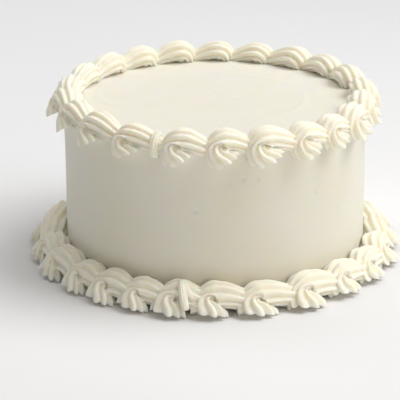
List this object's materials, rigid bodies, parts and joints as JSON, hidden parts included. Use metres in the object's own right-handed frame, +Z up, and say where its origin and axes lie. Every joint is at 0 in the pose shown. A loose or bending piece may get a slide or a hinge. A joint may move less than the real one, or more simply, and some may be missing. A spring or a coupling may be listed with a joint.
{
  "type": "iced cake",
  "caption": "Tall round uncut cake under smooth white icing, with a piped shell border round its top edge and another round its foot.",
  "frame": {"origin": "middle of the cake's flat underside, on the surface it stands on", "axes": "+Z up along the cake's axis; +Y away from the viewer, so the joins of both borders face -Y and a little -X"},
  "size_m": [0.2546, 0.2542, 0.1207],
  "materials": {
    "smooth_icing": "smooth creamy white icing, satin, with faint spatula marks",
    "piped_icing": "creamy white piped icing, satin, with deep rounded ridges"
  },
  "bodies": {
    "root": {"iced_cake": "smooth_icing", "top_border": "piped_icing", "bottom_border": "piped_icing"}
  },
  "joints": []
}
